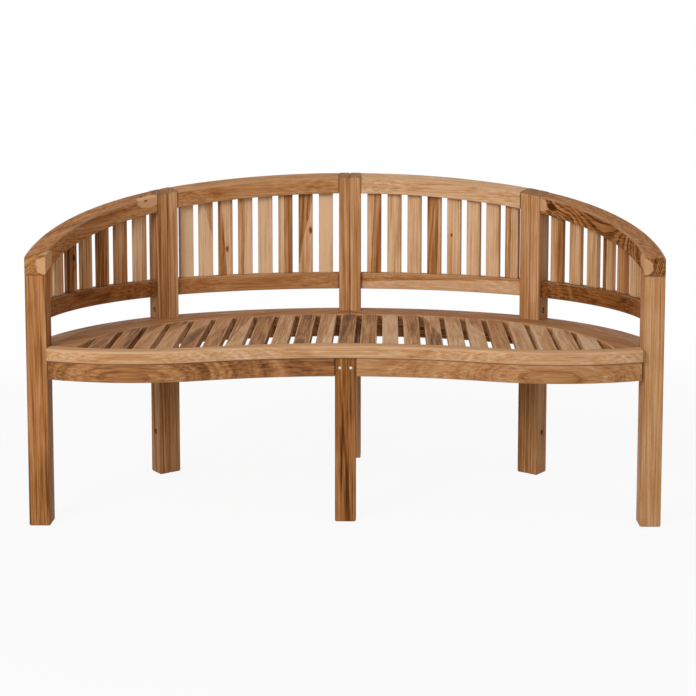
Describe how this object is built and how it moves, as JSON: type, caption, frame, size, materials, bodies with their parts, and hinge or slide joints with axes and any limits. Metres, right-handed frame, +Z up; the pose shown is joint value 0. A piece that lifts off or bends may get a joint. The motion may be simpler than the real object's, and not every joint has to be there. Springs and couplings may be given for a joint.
{
  "type": "curved garden bench",
  "caption": "Curved teak garden bench with a kidney-shaped slatted seat, a wrap-round slatted back that runs out into the arms, and a leg under the middle of the front.",
  "frame": {"origin": "on the ground under the middle of the bench's outer box", "axes": "+X along the bench to its right as seen from the front, -Y towards the front, +Z up"},
  "size_m": [1.5, 0.702, 0.7943],
  "materials": {
    "post_teak": "oiled satin",
    "rail_teak": "oiled satin",
    "back_slat_teak": "oiled satin",
    "seat_board_teak": "oiled satin",
    "seat_slat_teak": "oiled satin",
    "frame_teak": "oiled satin",
    "fastener_steel": "plain"
  },
  "bodies": {
    "root": {"arm_post_left": "post_teak", "arm_post_right": "post_teak", "front_centre_leg": "post_teak", "centre_post_left_half": "post_teak", "mid_post_left_inner_half": "post_teak", "mid_post_left_outer_half": "post_teak", "centre_post_right_half": "post_teak", "mid_post_right_inner_half": "post_teak", "mid_post_right_outer_half": "post_teak", "top_rail_left_inner": "rail_teak", "lower_back_rail_left_inner": "rail_teak", "rear_seat_rail_left_inner": "frame_teak", "back_slats_left_inner": "back_slat_teak", "top_rail_left_outer": "rail_teak", "lower_back_rail_left_outer": "rail_teak", "rear_seat_rail_left_outer": "frame_teak", "back_slats_left_outer": "back_slat_teak", "top_rail_right_inner": "rail_teak", "lower_back_rail_right_inner": "rail_teak", "rear_seat_rail_right_inner": "frame_teak", "back_slats_right_inner": "back_slat_teak", "top_rail_right_outer": "rail_teak", "lower_back_rail_right_outer": "rail_teak", "rear_seat_rail_right_outer": "frame_teak", "back_slats_right_outer": "back_slat_teak", "front_apron_left": "frame_teak", "front_apron_right": "frame_teak", "centre_bearer": "frame_teak", "seat_front_board": "seat_board_teak", "seat_rear_board_left": "seat_board_teak", "seat_rear_board_right": "seat_board_teak", "seat_slat_01": "seat_slat_teak", "seat_slat_02": "seat_slat_teak", "seat_slat_03": "seat_slat_teak", "seat_slat_04": "seat_slat_teak", "seat_slat_05": "seat_slat_teak", "seat_slat_06": "seat_slat_teak", "seat_slat_07": "seat_slat_teak", "seat_slat_08": "seat_slat_teak", "seat_slat_09": "seat_slat_teak", "seat_slat_10": "seat_slat_teak", "seat_slat_11": "seat_slat_teak", "seat_slat_12": "seat_slat_teak", "seat_slat_13": "seat_slat_teak", "seat_slat_14": "seat_slat_teak", "seat_slat_15": "seat_slat_teak", "seat_slat_16": "seat_slat_teak", "seat_slat_17": "seat_slat_teak", "seat_slat_18": "seat_slat_teak", "seat_slat_19": "seat_slat_teak", "seat_slat_20": "seat_slat_teak", "seat_slat_21": "seat_slat_teak", "seat_slat_22": "seat_slat_teak", "seat_slat_23": "seat_slat_teak", "mid_post_left_upper_bolt": "fastener_steel", "mid_post_left_lower_bolt": "fastener_steel", "centre_leg_screw_left": "fastener_steel", "mid_post_right_upper_bolt": "fastener_steel", "mid_post_right_lower_bolt": "fastener_steel", "centre_leg_screw_right": "fastener_steel"}
  },
  "joints": []
}
